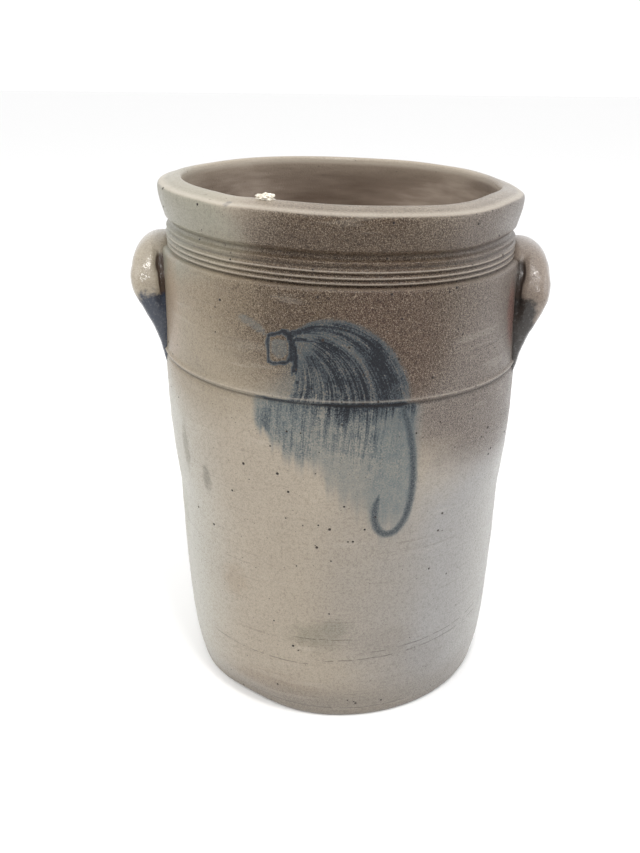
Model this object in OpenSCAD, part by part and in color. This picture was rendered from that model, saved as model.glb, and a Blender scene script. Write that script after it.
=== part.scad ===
// Salt-glazed stoneware butter crock: thrown body, two applied lug handles and a
// scrap of kiln wadding fused to the rim. Units are mm, +Z is up, and the origin is
// the centre of the base on the surface the crock stands on. Handles lie on -X and +X.

/* [Body] */
// Height from the resting surface to the top of the rim
body_height = 305; // [295:1:330]
// Radius of the foot where it meets the surface
foot_radius = 90.6; // [86:0.2:92]
// Radius at the slight waist, two fifths of the way up
waist_radius = 100.1; // [97:0.2:101]
// Largest radius, at the shoulder below the tooled ridge
shoulder_radius = 104.5; // [102.6:0.1:105]
// Radius just under the beads
collar_radius = 102.1; // [101:0.1:102.4]
// Thickness of the wall
wall_thickness = 8.75; // [7:0.25:10]
// Thickness of the floor
floor_thickness = 11; // [8:0.5:14]
// Radius of the turn between the inside wall and the floor
inside_turn = 14; // [8:1:20]

/* [Rim] */
// Height of the flared band at the top
rim_height = 20.6; // [18:0.2:22]
// Radius of the neck, the narrow hollow under the band
neck_radius = 96; // [95:0.1:97]
// Widest radius of the band
rim_radius = 101.8; // [100.5:0.1:103]
// Radius of the mouth at the top of the rim
mouth_radius = 88.4; // [86:0.2:91]
// Drop of the rim top from its inner edge to its outer edge
rim_slope = 2.7; // [1.5:0.1:3.5]

/* [Tooling] */
// Height of the raised ridge above the surface
ridge_z = 209.7; // [206:0.1:214]
// How far the ridge stands out of the wall
ridge_relief = 0.8; // [0.4:0.1:1.2]
// Depth of the groove scored under the ridge
groove_depth = 0.5; // [0.2:0.1:0.8]
// Radius of each of the three fine beads under the neck
bead_size = 1.2; // [0.8:0.1:1.3]

/* [Handles] */
// Radius from the crock's axis to the outermost part of a handle
handle_reach = 121.6; // [119:0.2:124]
// Height of the top of a handle
handle_top = 273; // [270:0.5:276]
// Height at which the tail of a handle runs into the wall
handle_tail = 196; // [193:0.5:199]
// Half the width of a handle from front to back
handle_half_width = 36; // [34:0.5:40]
// Thickness of the strap of clay seen from its side
strap_thickness = 15; // [13:0.5:17]
// How far the thin web stands out before the thick roll begins
web_reach = 6; // [5:0.25:7]
// How much thinner than the roll the web is on each face
web_step = 2.5; // [1.5:0.25:3.5]

/* [Kiln wad] */
// Radius of the largest lump of the scrap stuck to the rim
wad_lump = 2.6; // [2:0.1:3]
// Angle of the scrap from the front of the crock, towards the left handle
wad_angle = 23.5; // [16:0.5:32]

/* [Hidden] */

clay = [0.62, 0.57, 0.52];
clay_handle = [0.58, 0.55, 0.51];
wad_white = [0.88, 0.86, 0.82];

curve_steps = 8;
round_steps = 64;
top_z = body_height;
band_z = body_height - rim_height;      // lower edge of the flared band
neck_z = band_z - 3.4;                  // middle of the hollow neck
fillet_z = neck_z - 2.2;                // fine ridge between the beads and the neck
collar_z = body_height - 39;            // where the plain wall ends
bead_gap = 2.9;                         // rise from one bead to the next
waist_z = 0.4 * body_height;
shoulder_z = 0.607 * body_height;
overlap = 4;                            // how far cutting shapes run past a face

// Cubic curve through p0 and p3, leaving out the last point
function bezier(p0, p1, p2, p3, n = curve_steps) =
    [for (i = [0 : n - 1]) let (t = i / n, s = 1 - t)
        s * s * s * p0 + 3 * s * s * t * p1 + 3 * s * t * t * p2 + t * t * t * p3];

// Half-round bead standing on the wall at radius r and height z
function bead(r, z) =
    [for (a = [-75 : 37.5 : 75]) [r - 0.3 + bead_size * cos(a), z + bead_size * sin(a)]];

function shoulder_at(z) =
    let (t = (z - shoulder_z) / (collar_z - shoulder_z))
    shoulder_radius + (collar_radius - shoulder_radius) * t * t * (1.6 - 0.6 * t);

// Plain wall, foot to collar, with the ridge and the groove scored under it
function wall_outline() = concat(
    [[0, 0]],
    bezier([foot_radius, 0], [foot_radius + 1.6, 1.2], [foot_radius + 1.9, 3.5],
           [foot_radius + 2.2, 6]),
    bezier([foot_radius + 2.2, 6], [waist_radius - 3, 20], [waist_radius - 2, 44],
           [waist_radius - 0.5, 86]),
    bezier([waist_radius - 0.5, 86], [waist_radius - 0.3, 100], [waist_radius, 112],
           [waist_radius, waist_z]),
    bezier([waist_radius, waist_z], [waist_radius + 0.2, waist_z + 18],
           [shoulder_radius, shoulder_z - 34], [shoulder_radius, shoulder_z]),
    [for (z = [shoulder_z : 5 : ridge_z - 5]) [shoulder_at(z), z]],
    [[shoulder_at(ridge_z - 3.6), ridge_z - 3.6],
     [shoulder_at(ridge_z - 2.3) - groove_depth, ridge_z - 2.3],
     [shoulder_at(ridge_z - 1.2) + 0.4 * ridge_relief, ridge_z - 1.2],
     [shoulder_at(ridge_z) + ridge_relief, ridge_z],
     [shoulder_at(ridge_z + 1.2) + 0.6 * ridge_relief, ridge_z + 1.2],
     [shoulder_at(ridge_z + 2.8), ridge_z + 2.8]],
    [for (z = [ridge_z + 8 : 8 : collar_z - 3]) [shoulder_at(z), z]],
    [[collar_radius, collar_z]]);

// Beads, neck and flared band, up to the top outer edge of the rim
function collar_outline() = concat(
    [[collar_radius - 0.7, collar_z + 0.6], [collar_radius - 2.4, collar_z + 0.9],
     [98.6, collar_z + 1.2]],
    bead(98.2, collar_z + 2.6),
    bead(98, collar_z + 2.6 + bead_gap),
    bead(97.7, collar_z + 2.6 + 2 * bead_gap),
    [[neck_radius + 1.2, fillet_z - 1], [neck_radius + 1.5, fillet_z],
     [neck_radius + 0.5, fillet_z + 0.8], [neck_radius, neck_z]],
    bezier([neck_radius + 0.4, neck_z + 1.6], [neck_radius + 1, band_z - 0.5],
           [rim_radius - 2.6, band_z - 0.4], [rim_radius - 2.4, band_z + 1]),
    bezier([rim_radius - 2.4, band_z + 1], [rim_radius - 1.8, band_z + 7],
           [rim_radius, band_z + 10], [rim_radius, top_z - 6]),
    bezier([rim_radius, top_z - 6], [rim_radius, top_z - 4],
           [rim_radius - 0.6, top_z - rim_slope - 0.1], [rim_radius - 2.4, top_z - rim_slope]));

// Outside of the crock from the axis at the base to the outer edge of the rim
function outer_outline() = concat(wall_outline(), collar_outline());

inner_radius = shoulder_radius - wall_thickness;
inner_waist = waist_radius - wall_thickness;

// Top of the rim, mouth and inside, back to the axis at the floor
function inner_outline() = concat(
    bezier([rim_radius - 4, top_z - rim_slope + 0.4], [mouth_radius + 6, top_z - 0.9],
           [mouth_radius + 4, top_z], [mouth_radius + 1.6, top_z]),
    bezier([mouth_radius + 1.6, top_z], [mouth_radius + 0.4, top_z],
           [mouth_radius, top_z - 0.8], [mouth_radius, top_z - 2.4]),
    bezier([mouth_radius, top_z - 2.4], [mouth_radius + 0.2, top_z - 16],
           [inner_radius, top_z - 30], [inner_radius, top_z - 52]),
    bezier([inner_radius, top_z - 52], [inner_radius, shoulder_z - 10],
           [inner_waist, waist_z + 24], [inner_waist, waist_z]),
    bezier([inner_waist, waist_z], [inner_waist, 70],
           [inner_waist - 1.4, floor_thickness + 2.2 * inside_turn],
           [inner_waist - 2, floor_thickness + inside_turn]),
    bezier([inner_waist - 2, floor_thickness + inside_turn],
           [inner_waist - 2.4, floor_thickness + 0.45 * inside_turn],
           [inner_waist - 2 - 0.55 * inside_turn, floor_thickness],
           [inner_waist - 2 - inside_turn, floor_thickness]),
    [[inner_waist - 2 - inside_turn, floor_thickness], [0, floor_thickness]]);

// Solid with the outside shape of the crock, used to fit pieces against it
module outer_envelope() {
    rotate_extrude($fn = 96) polygon(concat(outer_outline(), [[0, top_z - rim_slope]]));
}

module crock_solid() {
    rotate_extrude($fn = 96) polygon(concat(outer_outline(), inner_outline()));
}

module crock_body() {
    color(clay) crock_solid();
}

crest_drop = 8;                         // fall of the crest before the legs turn down
leg_z = handle_top - handle_half_width + crest_drop;

// Upside-down U of half width w whose top is at z, drawn in the Y-Z plane
function arch_outline(w, z, foot) = concat(
    [[-w, foot]],
    [for (i = [0 : round_steps / 2])
        let (a = 180 - 180 * i / (round_steps / 2))
        [w * cos(a), z - (w - crest_drop) * (1 - sin(a))]],
    [[w, foot]]);

// Arched band between two U outlines, standing out along +X
module arch(inset) {
    rotate([90, 0, 90]) linear_extrude(height = handle_reach + overlap)
        difference() {
            polygon(arch_outline(handle_half_width - inset, handle_top - 0.6 * inset,
                                 handle_tail - overlap));
            polygon(arch_outline(handle_half_width - strap_thickness + inset,
                                 handle_top - strap_thickness + inset,
                                 handle_tail - 2 * overlap));
        }
}

ear_top = shoulder_at(collar_z);

// Side view of the ear: flat top, full outer roll, long taper into the wall
function ear_outline() = concat(
    [[neck_radius - overlap, handle_tail - 1], [shoulder_at(handle_tail) + 0.6, handle_tail - 1]],
    bezier([shoulder_at(handle_tail) + 1.2, handle_tail + 3], [ear_top + 5, handle_tail + 20],
           [ear_top + 13, handle_tail + 34], [handle_reach - 2, handle_tail + 47]),
    bezier([handle_reach - 2, handle_tail + 47], [handle_reach + 0.2, handle_tail + 53],
           [handle_reach, handle_tail + 61], [handle_reach - 4.4, handle_tail + 68]),
    bezier([handle_reach - 4.4, handle_tail + 68], [handle_reach - 6.6, handle_tail + 72],
           [handle_reach - 9.5, handle_top + 1], [handle_reach - 15, handle_top + 1]),
    [[neck_radius - overlap, handle_top + 1]]);

// One lug on +X: a thick outer roll, and the thinner web that joins it to the wall
module lug() {
    difference() {
        intersection() {
            arch(0);
            rotate_extrude($fn = 96) polygon(ear_outline());
        }
        difference() {
            translate([0, 0, handle_tail - 2 * overlap])
                cylinder(r = ear_top + web_reach, h = handle_top - handle_tail + 4 * overlap,
                         $fn = 96);
            arch(web_step);
        }
        outer_envelope();
    }
}

module left_handle() {
    color(clay_handle) mirror([1, 0, 0]) lug();
}

module right_handle() {
    color(clay_handle) lug();
}

// Three fused lumps sitting on the inner edge of the rim
module kiln_wad_fragment() {
    lumps = [[-3.1, 0.2, 0.8], [0, 0, 1], [3.2, -0.3, 0.75]];
    color(wad_white) difference() {
        rotate([0, 0, -wad_angle]) for (p = lumps)
            translate([p[0], -mouth_radius - 1.3 - p[1], top_z + 0.1])
                sphere(r = wad_lump * p[2], $fn = 24);
        crock_solid();
    }
}

crock_body();
left_handle();
right_handle();
kiln_wad_fragment();
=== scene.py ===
"""Salt-glazed stoneware butter crock with two lug handles and brushed blue slip.

The crock stands on Z = 0 with its axis on Z, its decorated front towards -Y and its
handles on -X and +X. Sizes inside the classes are in millimetres, as a potter measures
them, and become metres as each mesh is made. Angles round the crock are degrees from the
front, positive towards the right handle. Colours are on the usual 0 to 255 screen scale.
"""

import logging
import math
from dataclasses import dataclass
from enum import Enum
from typing import Any, Iterable, Sequence

import bmesh
import bpy
import numpy as np
from mathutils import Matrix, Vector


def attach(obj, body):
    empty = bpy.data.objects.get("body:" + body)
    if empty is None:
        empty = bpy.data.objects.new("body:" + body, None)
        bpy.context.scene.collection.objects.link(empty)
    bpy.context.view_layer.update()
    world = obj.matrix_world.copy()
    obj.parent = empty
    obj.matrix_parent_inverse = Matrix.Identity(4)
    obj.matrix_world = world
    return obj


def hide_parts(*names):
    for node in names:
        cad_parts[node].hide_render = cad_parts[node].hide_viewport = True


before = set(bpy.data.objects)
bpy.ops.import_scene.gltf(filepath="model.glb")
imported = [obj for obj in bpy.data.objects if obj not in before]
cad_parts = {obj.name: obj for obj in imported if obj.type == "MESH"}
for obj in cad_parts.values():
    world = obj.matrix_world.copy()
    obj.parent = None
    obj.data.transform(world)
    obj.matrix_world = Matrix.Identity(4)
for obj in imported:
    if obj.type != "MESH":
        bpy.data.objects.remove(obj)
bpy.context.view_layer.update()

log = logging.getLogger("butter_crock")

MM = 0.001
TAU = 2 * math.pi
BODY = "root"

Colour = tuple[int, int, int]
Facts = dict[str, np.ndarray]
Finish = bpy.types.Material
Place = tuple[float, float, float]
Tree = bpy.types.NodeTree


# ---------------------------------------------------------------- node sheets


class SheetKind(Enum):
    """The two sorts of node tree used here."""

    SHAPE = "GeometryNodeTree"
    FINISH = "ShaderNodeTree"


@dataclass(frozen=True)
class Flow:
    """One node output, on which ordinary arithmetic can be written."""

    sheet: "Sheet"
    socket: bpy.types.NodeSocket

    def __add__(self, other: Any) -> "Flow":
        """Sum."""
        return self.sheet.combine("ADD", self, other)

    def __sub__(self, other: Any) -> "Flow":
        """Difference."""
        return self.sheet.combine("SUBTRACT", self, other)

    def __rsub__(self, other: Any) -> "Flow":
        """Difference with a plain value first."""
        return self.sheet.combine("SUBTRACT", other, self)

    def __mul__(self, other: Any) -> "Flow":
        """Product."""
        return self.sheet.combine("MULTIPLY", self, other)

    def __truediv__(self, other: Any) -> "Flow":
        """Quotient."""
        return self.sheet.combine("DIVIDE", self, other)

    def parts(self) -> tuple["Flow", ...]:
        """The vector's X, Y and Z."""
        return self.sheet.outputs(self.sheet.node("ShaderNodeSeparateXYZ", [self]))


class Sheet:
    """A node tree with short calls for laying nodes in it."""

    def __init__(self, tree: Tree) -> None:
        """Starts an empty sheet on a tree, whose nodes are cleared."""
        self.tree = tree
        tree.nodes.clear()
        self.entry: bpy.types.Node | None = None
        self.exit: bpy.types.Node | None = None

    @classmethod
    def group(cls, name: str, kind: SheetKind, takes: dict[str, Any], gives: dict[str, str]) -> "Sheet":
        """Makes a node group with named sockets.

        Args:
            name: The group's name.
            kind: Shape or finish.
            takes: Input names, each with its default value, or its socket sort if it has none.
            gives: Output names, each with its socket sort.

        Returns:
            The group's sheet, with its entry and exit nodes laid.
        """
        tree = bpy.data.node_groups.new(name, kind.value)
        if kind is SheetKind.SHAPE:
            tree.is_modifier = True
        for way, sockets in (("INPUT", takes), ("OUTPUT", gives)):
            for label, value in sockets.items():
                plain = isinstance(value, str)
                sort = f"NodeSocket{value if plain else cls.sort(value)}"
                socket = tree.interface.new_socket(label, in_out=way, socket_type=sort)
                if not plain:
                    socket.default_value = value
        sheet = cls(tree)
        sheet.entry = tree.nodes.new("NodeGroupInput")
        sheet.exit = tree.nodes.new("NodeGroupOutput")
        return sheet

    @staticmethod
    def sort(value: Any) -> str:
        """The sort of socket that holds a default value."""
        if isinstance(value, tuple):
            return "Color" if len(value) == 4 else "Vector"
        return "Int" if isinstance(value, int) else "Float"

    def take(self, label: str) -> Flow:
        """The group input of that name."""
        return Flow(self, self.entry.outputs[label])

    def give(self, label: str, value: Any) -> None:
        """Feeds the group output of that name."""
        self.feed(self.exit.inputs[label], value)

    def feed(self, socket: bpy.types.NodeSocket, value: Any) -> None:
        """Links a flow to a socket, or sets the socket's own value.

        Args:
            socket: The input to fill.
            value: A flow, a number, a colour, a vector or a data block.
        """
        if isinstance(value, Flow):
            self.tree.links.new(value.socket, socket)
            return
        if socket.type == "RGBA" and len(value) == 3:
            value = (*value, 1.0)
        if socket.type == "VECTOR" and isinstance(value, (int, float)):
            value = (value,) * 3
        socket.default_value = value

    def node(
        self, kind: str, inputs: Sequence[Any] | dict[str, Any] = (), **settings: Any
    ) -> bpy.types.Node:
        """Lays one node.

        Args:
            kind: The node's type name.
            inputs: Values by position or by socket name.
            **settings: Node properties, set before the sockets are fed.

        Returns:
            The new node.
        """
        made = self.tree.nodes.new(kind)
        for key, value in settings.items():
            setattr(made, key, value)
        if isinstance(inputs, dict):
            pairs = [(made.inputs[key], value) for key, value in inputs.items()]
        else:
            pairs = zip(made.inputs, inputs)
        for socket, value in pairs:
            self.feed(socket, value)
        return made

    def outputs(self, made: bpy.types.Node) -> tuple[Flow, ...]:
        """All of a node's outputs."""
        return tuple(Flow(self, output) for output in made.outputs)

    def flow(self, kind: str, inputs: Any = (), output: int | str = 0, **settings: Any) -> Flow:
        """Lays one node and returns one of its outputs."""
        return Flow(self, self.node(kind, inputs, **settings).outputs[output])

    def math(self, operation: str, *values: Any, clamp: bool = False) -> Flow:
        """Lays a Math node."""
        return self.flow("ShaderNodeMath", values, operation=operation, use_clamp=clamp)

    def combine(self, operation: str, first: Any, second: Any) -> Flow:
        """Lays the Math or Vector Math node that the two values need."""
        vector = any(
            value.socket.type == "VECTOR" if isinstance(value, Flow) else not np.isscalar(value)
            for value in (first, second)
        )
        kind = "ShaderNodeVectorMath" if vector else "ShaderNodeMath"
        return self.flow(kind, [first, second], operation=operation)

    def vector(self, x: Any, y: Any, z: Any) -> Flow:
        """Joins three numbers into a vector."""
        return self.flow("ShaderNodeCombineXYZ", [x, y, z])

    def length(self, vector: Any) -> Flow:
        """The vector's length."""
        return self.flow("ShaderNodeVectorMath", [vector], output="Value", operation="LENGTH")

    def smooth(self, value: Any, low: Any, high: Any) -> Flow:
        """Rises smoothly from 0 at low to 1 at high."""
        inputs = [value, low, high, 0.0, 1.0]
        return self.flow("ShaderNodeMapRange", inputs, interpolation_type="SMOOTHSTEP")

    def remap(self, value: Any, low: Any, high: Any, start: Any, end: Any) -> Flow:
        """Straight line from start at low to end at high, held at both ends."""
        return self.flow("ShaderNodeMapRange", [value, low, high, start, end])

    def mix(self, factor: Any, first: Any, second: Any, blend: str = "MIX") -> Flow:
        """Mixes two colours."""
        made = self.node("ShaderNodeMix", data_type="RGBA", blend_type=blend)
        named = {socket.identifier: socket for socket in made.inputs}
        for label, value in (("Factor_Float", factor), ("A_Color", first), ("B_Color", second)):
            self.feed(named[label], value)
        return next(flow for flow in self.outputs(made) if flow.socket.identifier == "Result_Color")

    def noise(self, vector: Any, detail: float = 2.0, rough: float = 0.5, output: int = 0) -> Flow:
        """Lays a Noise Texture of scale 1: output 0 is its value, output 1 its colour."""
        inputs = {"Vector": vector, "Scale": 1.0, "Detail": detail, "Roughness": rough}
        return self.flow("ShaderNodeTexNoise", inputs, output=output)

    def ramp(self, value: Any, stops: Sequence[tuple[float, Colour]]) -> Flow:
        """Lays a Color Ramp through stops, each a place along it and a colour."""
        made = self.node("ShaderNodeValToRGB", [value])
        elements = made.color_ramp.elements
        while len(elements) < len(stops):
            elements.new(1.0)
        for element, (place, colour) in zip(elements, stops):
            element.position = place
            element.color = (*srgb(*colour), 1.0)
        return Flow(self, made.outputs[0])

    def curve(self, value: Any, points: Sequence[tuple[float, float]]) -> Flow:
        """Lays a Float Curve through points given in real units.

        Args:
            value: Where to read the curve.
            points: Value and result of each point, in order.

        Returns:
            The result.
        """
        low, high = np.min(points, axis=0), np.max(points, axis=0)
        span = high - low
        made = self.node("ShaderNodeFloatCurve")
        line = made.mapping.curves[0]
        while len(line.points) < len(points):
            line.points.new(0.5, 0.5)
        for point, place in zip(line.points, points):
            point.location = [float(part) for part in (np.array(place) - low) / span]
        made.mapping.update()
        share = self.remap(value, float(low[0]), float(high[0]), 0.0, 1.0)
        self.feed(made.inputs["Value"], share)
        return Flow(self, made.outputs[0]) * float(span[1]) + float(low[1])

    def attribute(self, name: str, output: str = "Fac") -> Flow:
        """Reads a number, vector or colour that the mesh carries."""
        return self.flow("ShaderNodeAttribute", attribute_name=name, output=output)

    def bump(self, height: Flow, depth: float) -> Flow:
        """The normal of a relief of that height and depth."""
        inputs = {"Strength": 1.0, "Distance": depth * MM, "Height": height}
        return self.flow("ShaderNodeBump", inputs)

    def use(self, group: Tree, **values: Any) -> dict[str, Flow]:
        """Places a node group.

        Args:
            group: The group's tree.
            **values: Input values by socket name.

        Returns:
            The group's outputs by name.
        """
        kind = group.bl_idname.replace("Tree", "Group")
        made = self.node(kind, node_tree=group)
        for key, value in values.items():
            self.feed(made.inputs[key], value)
        return {output.name: Flow(self, output) for output in made.outputs}


# ------------------------------------------------------------- shared helpers


def srgb(*colour: int) -> tuple[float, ...]:
    """Turns a screen colour into linear light."""
    shares = [part / 255 for part in colour]
    return tuple(s / 12.92 if s <= 0.04045 else ((s + 0.055) / 1.055) ** 2.4 for s in shares)


def smoothstep(value: np.ndarray, low: float, high: float) -> np.ndarray:
    """Rises smoothly from 0 at low to 1 at high, or falls where high is below low."""
    share = np.clip((value - low) / (high - low), 0, 1)
    return share * share * (3 - 2 * share)


def add_object(name: str, data: bpy.types.ID) -> bpy.types.Object:
    """Links a new object to the scene."""
    made = bpy.data.objects.new(name, data)
    bpy.context.scene.collection.objects.link(made)
    return made


def guide_mesh(name: str, points: np.ndarray, facts: Facts) -> bpy.types.Mesh:
    """Makes a mesh of loose points that carries numbers for a Geometry Nodes tree.

    Args:
        name: The mesh's name.
        points: One row of three numbers for each point.
        facts: Attribute names, each with one number or one vector per point.

    Returns:
        The mesh.
    """
    mesh = bpy.data.meshes.new(name)
    mesh.vertices.add(len(points))
    mesh.vertices.foreach_set("co", np.asarray(points, dtype=np.float32).ravel())
    for label, values in facts.items():
        values = np.asarray(values, dtype=np.float32)
        sort, key = ("FLOAT", "value") if values.ndim == 1 else ("FLOAT_VECTOR", "vector")
        mesh.attributes.new(label, sort, "POINT").data.foreach_set(key, values.ravel())
    mesh.update()
    return mesh


def grow(name: str, guide: bpy.types.Mesh, tree: Tree, values: dict[str, Any]) -> bpy.types.Object:
    """Runs a Geometry Nodes tree over a mesh and keeps the plain mesh that it makes.

    Args:
        name: The finished piece's name.
        guide: The mesh that the tree starts from.
        tree: The tree.
        values: Its inputs by name.

    Returns:
        The piece, with no modifier and one material left, and its normals outwards.
    """
    piece = add_object(name, guide)
    modifier = piece.modifiers.new("recipe", "NODES")
    modifier.node_group = tree
    for item in tree.interface.items_tree:
        if item.item_type == "SOCKET" and item.in_out == "INPUT" and item.name in values:
            modifier[item.identifier] = values[item.name]
    depsgraph = bpy.context.evaluated_depsgraph_get()
    mesh = bpy.data.meshes.new_from_object(
        piece.evaluated_get(depsgraph), preserve_all_data_layers=True, depsgraph=depsgraph
    )
    piece.modifiers.clear()
    piece.data = mesh
    mesh.name = name
    finish = next(material for material in mesh.materials if material)
    mesh.materials.clear()
    mesh.materials.append(finish)
    mesh.polygons.foreach_set("material_index", np.zeros(len(mesh.polygons), dtype=np.int32))
    work = bmesh.new()
    work.from_mesh(mesh)
    bmesh.ops.recalc_face_normals(work, faces=work.faces)
    work.to_mesh(mesh)
    work.free()
    mesh.update()
    return piece


def vertex_rows(mesh: bpy.types.Mesh, key: str) -> np.ndarray:
    """The mesh's vertex places ("co") or normals ("normal"), one row each."""
    rows = np.empty(len(mesh.vertices) * 3, dtype=np.float32)
    mesh.vertices.foreach_get(key, rows)
    return rows.reshape(-1, 3)


def end_shape(sheet: Sheet, shape: Flow, finish: Finish) -> Tree:
    """Ends a shape tree: smooths its faces, realizes it and gives it a material."""
    soft = sheet.flow("GeometryNodeSetShadeSmooth", {"Geometry": shape})
    real = sheet.flow("GeometryNodeRealizeInstances", [soft])
    inputs = {"Geometry": real, "Material": finish}
    sheet.give("Geometry", sheet.flow("GeometryNodeSetMaterial", inputs))
    return sheet.tree


def fire_shape(sheet: Sheet, shape: Flow, true: Flow, warp: Tree, finish: Finish) -> Tree:
    """Lays a shape out, warps it as the kiln did, closes it and ends its tree.

    Args:
        sheet: The tree's sheet.
        shape: The shape to lay out.
        true: Each point's place in millimetres, before firing.
        warp: The kiln warp group.
        finish: The shape's material.

    Returns:
        The tree.
    """
    fired = sheet.use(warp, Position=true)["Position"]
    laid = sheet.flow("GeometryNodeSetPosition", {"Geometry": shape, "Position": fired * MM})
    closed = sheet.flow("GeometryNodeMergeByDistance", {"Geometry": laid, "Distance": 2e-5})
    return end_shape(sheet, closed, finish)


class GuideGrid:
    """A blank grid with one row for each point of a guide, to be laid out as a surface."""

    def __init__(self, sheet: Sheet) -> None:
        """Lays the grid on a sheet that takes the guide's Geometry and the number of Columns."""
        self.sheet = sheet
        self.guide = sheet.take("Geometry")
        size = sheet.node("GeometryNodeAttributeDomainSize", [self.guide], component="MESH")
        rows = Flow(sheet, size.outputs["Point Count"])
        self.blank = sheet.flow("GeometryNodeMeshGrid", [1.0, 1.0, sheet.take("Columns") + 1.0, rows])
        self.place = sheet.flow("GeometryNodeInputPosition")
        self.share, up, _ = self.place.parts()
        index = [(up + 0.5) * (rows - 1.0)]
        self.row = sheet.flow("FunctionNodeFloatToInt", index, rounding_mode="ROUND")

    def read(self, fact: str = "", sort: str = "FLOAT_VECTOR") -> Flow:
        """A fact of the guide at each row, or the guide's own place if none is named."""
        value = self.place
        if fact:
            value = self.sheet.flow("GeometryNodeInputNamedAttribute", [fact], data_type=sort)
        inputs = {"Geometry": self.guide, "Value": value, "Index": self.row}
        return self.sheet.flow("GeometryNodeSampleIndex", inputs, data_type=sort, domain="POINT")

    def fire(self, true: Flow, facts: dict[str, Flow], warp: Tree, finish: Finish) -> Tree:
        """Keeps facts on the blank grid, then lays it out, fires it and ends its tree.

        Args:
            true: Each point's place in millimetres, before firing.
            facts: Numbers to keep on the points, by name.
            warp: The kiln warp group.
            finish: The shape's material.

        Returns:
            The tree.
        """
        shape = self.blank
        for name, value in facts.items():
            inputs = {"Geometry": shape, "Name": name, "Value": value}
            kind = "GeometryNodeStoreNamedAttribute"
            shape = self.sheet.flow(kind, inputs, data_type="FLOAT", domain="POINT")
        return fire_shape(self.sheet, shape, true, warp, finish)


# ------------------------------------------------------------------ the shape


@dataclass(frozen=True)
class KilnWarp:
    """How the firing pulled the thrown form out of true."""

    height: float = 305.0  # where the lean is full
    lean: float = 0.0272  # rise of the rim for each millimetre towards the left handle
    wobble: float = 0.9  # size of the slow unevenness of the wall
    span: float = 95.0  # distance over which the unevenness changes

    def tree(self) -> Tree:
        """Builds the group that moves a true position to its fired position."""
        takes = {"Height": self.height, "Lean": self.lean, "Wobble": self.wobble, "Span": self.span}
        takes = {"Position": "Vector", **takes}
        sheet = Sheet.group("kiln_warp", SheetKind.SHAPE, takes, {"Position": "Vector"})
        place = sheet.take("Position")
        x, _, z = place.parts()
        share = z / sheet.take("Height")
        rise = share * 1.5 - share * share * 0.5
        lifted = x * rise * sheet.take("Lean") * -1.0
        drift = sheet.noise(place / sheet.take("Span"), 1.0, 0.4, output=1) - 0.5
        fade = sheet.smooth(z, 4.0, 60.0) * sheet.take("Wobble") * 2.0
        moved = place + drift * sheet.vector(fade, fade, 0.0)
        sheet.give("Position", moved + sheet.vector(0.0, 0.0, lifted))
        return sheet.tree

    def lift(self, x: np.ndarray, z: np.ndarray) -> np.ndarray:
        """The rise at a point, for work on finished vertices."""
        share = z / self.height
        return -x * self.lean * (share * 1.5 - share * share * 0.5)


@dataclass(frozen=True)
class Bend:
    """One stretch of the crock's outline: a cubic curve. Its points are radius and height."""

    lean_out: tuple[float, float]  # handle by the start
    lean_in: tuple[float, float]  # handle by the end
    end: tuple[float, float]
    rows: int  # mesh rows that the stretch gets

    def points(self, start: np.ndarray) -> np.ndarray:
        """The stretch's points, without its start."""
        share = np.linspace(0, 1, self.rows + 1)[1:, None]
        rest = 1 - share
        first, second, last = (np.array(p, float) for p in (self.lean_out, self.lean_in, self.end))
        near, far = 3 * rest**2 * share * first, 3 * rest * share**2 * second
        return rest**3 * start + near + far + share**3 * last


@dataclass(frozen=True)
class RimDent:
    """A place where the soft rim or foot was pushed or sagged before firing."""

    angle: float
    spread: float  # degrees over which it fades
    push: float  # outward shift
    drop: float  # downward shift


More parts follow.
